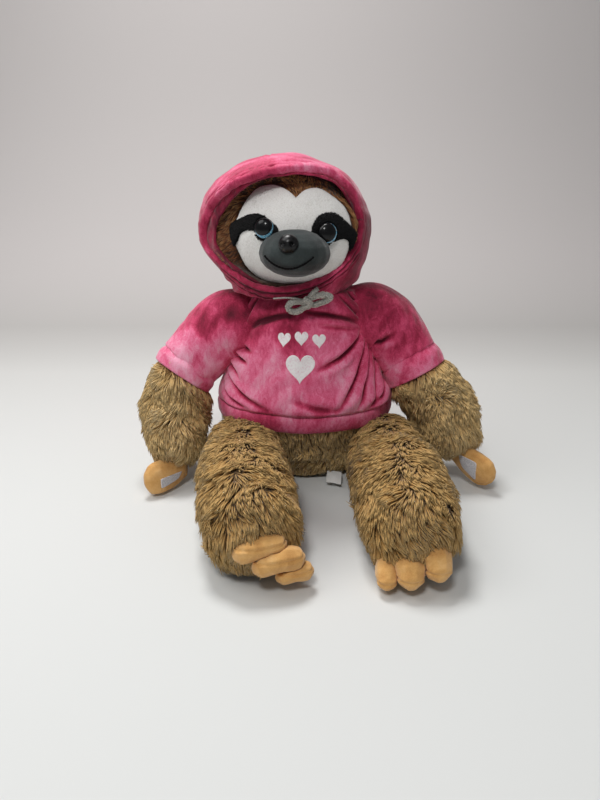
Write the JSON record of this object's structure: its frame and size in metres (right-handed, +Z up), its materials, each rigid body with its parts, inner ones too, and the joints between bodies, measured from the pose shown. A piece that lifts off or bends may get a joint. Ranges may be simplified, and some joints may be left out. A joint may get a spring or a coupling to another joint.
{
  "type": "plush sloth",
  "caption": "Sitting soft-toy sloth in a hooded top, with stuffed trunk, head, arms and legs, suede paws and toes, safety eyes and a tied drawstring.",
  "frame": {"origin": "on the flat underside of the rump, below the middle of the neck, at floor level", "axes": "+Z up from the floor, the toy faces -Y, and +X points to the toy's own left"},
  "size_m": [0.4225, 0.387, 0.38],
  "materials": {
    "fur": "long tan shag, matt",
    "velour": "pink crushed velour with paler mottles, soft sheen",
    "face": "short white plush",
    "black_plush": "short black plush",
    "grey_suede": "grey suede cloth with a short nap",
    "tan_suede": "orange-tan suede cloth with piped edges",
    "glitter": "clear domed plastic over blue glitter with a black pupil",
    "nose": "black moulded plastic, satin",
    "washer": "white locking washer",
    "thread": "black stitching thread",
    "cord": "pale chenille cord",
    "hook_tape": "pale hook-and-loop tape",
    "label": "bare white woven label"
  },
  "bodies": {
    "torso": {"body": "fur", "hoodie_torso": "velour", "hem_band": "velour", "sewn_label": "label"},
    "head": {"head": "fur", "face_panel": "face", "eye_patch_right": "black_plush", "eye_patch_left": "black_plush", "eye_right": "glitter", "eye_left": "glitter", "eye_washer_right": "washer", "eye_washer_left": "washer", "muzzle": "grey_suede", "nose": "nose", "nose_washer": "washer", "mouth_stitch": "thread", "hood": "velour", "hood_rim": "velour", "drawstring": "cord"},
    "arm_right": {"arm_right": "fur", "sleeve_right": "velour", "cuff_right": "velour"},
    "paw_right": {"paw_right": "tan_suede", "palm_patch_right": "hook_tape"},
    "leg_right": {"leg_right": "fur", "toe_right_1": "tan_suede", "toe_right_2": "tan_suede", "toe_right_3": "tan_suede"},
    "arm_left": {"arm_left": "fur", "sleeve_left": "velour", "cuff_left": "velour"},
    "paw_left": {"paw_left": "tan_suede", "palm_patch_left": "hook_tape"},
    "leg_left": {"leg_left": "fur", "toe_left_1": "tan_suede", "toe_left_2": "tan_suede", "toe_left_3": "tan_suede"}
  },
  "joints": [
    {"name": "head_turn", "type": "hinge", "parent": "torso", "child": "head", "pos_m": [-0.0235, 0, 0.229], "axis": [0, 0, 1], "range_deg": [-30, 30]},
    {"name": "shoulder_right", "type": "hinge", "parent": "torso", "child": "arm_right", "pos_m": [-0.074, 0, 0.184], "axis": [0.9272, 0, -0.3746], "range_deg": [-60, 20]},
    {"name": "shoulder_left", "type": "hinge", "parent": "torso", "child": "arm_left", "pos_m": [0.074, 0, 0.184], "axis": [0.9272, 0, 0.3746], "range_deg": [-60, 20]},
    {"name": "hip_right", "type": "hinge", "parent": "torso", "child": "leg_right", "pos_m": [-0.075, -0.05, 0.04], "axis": [-1, 0, 0], "range_deg": [-60, 10]},
    {"name": "hip_left", "type": "hinge", "parent": "torso", "child": "leg_left", "pos_m": [0.096, -0.05, 0.04], "axis": [-1, 0, 0], "range_deg": [-60, 10]},
    {"name": "wrist_right", "type": "hinge", "parent": "arm_right", "child": "paw_right", "pos_m": [-0.1524, -0.0658, 0.0202], "axis": [0.27, -0.0636, -0.9608], "range_deg": [-30, 30]},
    {"name": "wrist_left", "type": "hinge", "parent": "arm_left", "child": "paw_left", "pos_m": [0.1888, -0.0602, 0.0356], "axis": [0.2368, -0.3809, 0.8938], "range_deg": [-30, 30]}
  ]
}
